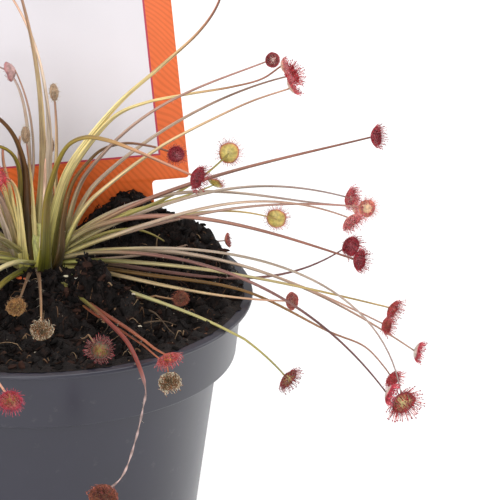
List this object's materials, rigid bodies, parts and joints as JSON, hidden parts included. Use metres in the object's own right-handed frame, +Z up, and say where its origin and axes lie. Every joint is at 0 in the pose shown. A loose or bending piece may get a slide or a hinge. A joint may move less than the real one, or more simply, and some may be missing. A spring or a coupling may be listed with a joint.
{
  "type": "potted sundew",
  "caption": "Sundew in a round dark nursery pot: a rosette of long arching stalks, each ending in a cupped red trap with sticky tentacles, a blank plant label behind.",
  "frame": {"origin": "middle of the pot's flat base, on the surface it stands on", "axes": "+Z up along the pot; +X towards the side where the leaves hang furthest; the plant label stands behind, towards +Y"},
  "size_m": [0.1494, 0.109, 0.1504],
  "materials": {
    "pot": "satin",
    "soil": "matte",
    "label": "satin",
    "stalk": "satin",
    "trap_red": "gloss",
    "trap_pale": "gloss",
    "trap_green": "gloss",
    "trap_dry": "matte"
  },
  "bodies": {
    "root": {"pot": "pot", "soil": "soil", "plant_label": "label", "rosette": "stalk", "trap_01": "trap_red", "trap_02": "trap_pale", "trap_03": "trap_red", "trap_04": "trap_red", "trap_05": "trap_pale", "trap_06": "trap_red", "trap_07": "trap_red", "trap_08": "trap_pale", "trap_09": "trap_pale", "trap_10": "trap_pale", "trap_11": "trap_red", "trap_12": "trap_red", "trap_13": "trap_red", "trap_14": "trap_red", "trap_15": "trap_red", "trap_16": "trap_red", "trap_17": "trap_red", "trap_18": "trap_red", "trap_19": "trap_red", "trap_20": "trap_red", "trap_21": "trap_green", "trap_22": "trap_green", "trap_23": "trap_green", "trap_24": "trap_red", "trap_25": "trap_red", "trap_26": "trap_green", "trap_27": "trap_red", "trap_28": "trap_dry", "trap_29": "trap_dry", "trap_30": "trap_red", "trap_31": "trap_red", "trap_32": "trap_dry", "trap_33": "trap_dry", "trap_34": "trap_dry", "trap_35": "trap_red", "trap_36": "trap_pale", "trap_37": "trap_red", "trap_38": "trap_pale", "trap_39": "trap_red", "trap_40": "trap_red", "trap_41": "trap_pale", "trap_42": "trap_pale", "trap_43": "trap_red", "trap_44": "trap_red", "trap_45": "trap_red", "trap_46": "trap_red", "trap_47": "trap_pale", "trap_48": "trap_pale", "trap_49": "trap_red", "trap_50": "trap_red", "trap_51": "trap_pale", "trap_52": "trap_pale", "trap_53": "trap_red", "trap_54": "trap_pale", "trap_55": "trap_red"}
  },
  "joints": []
}
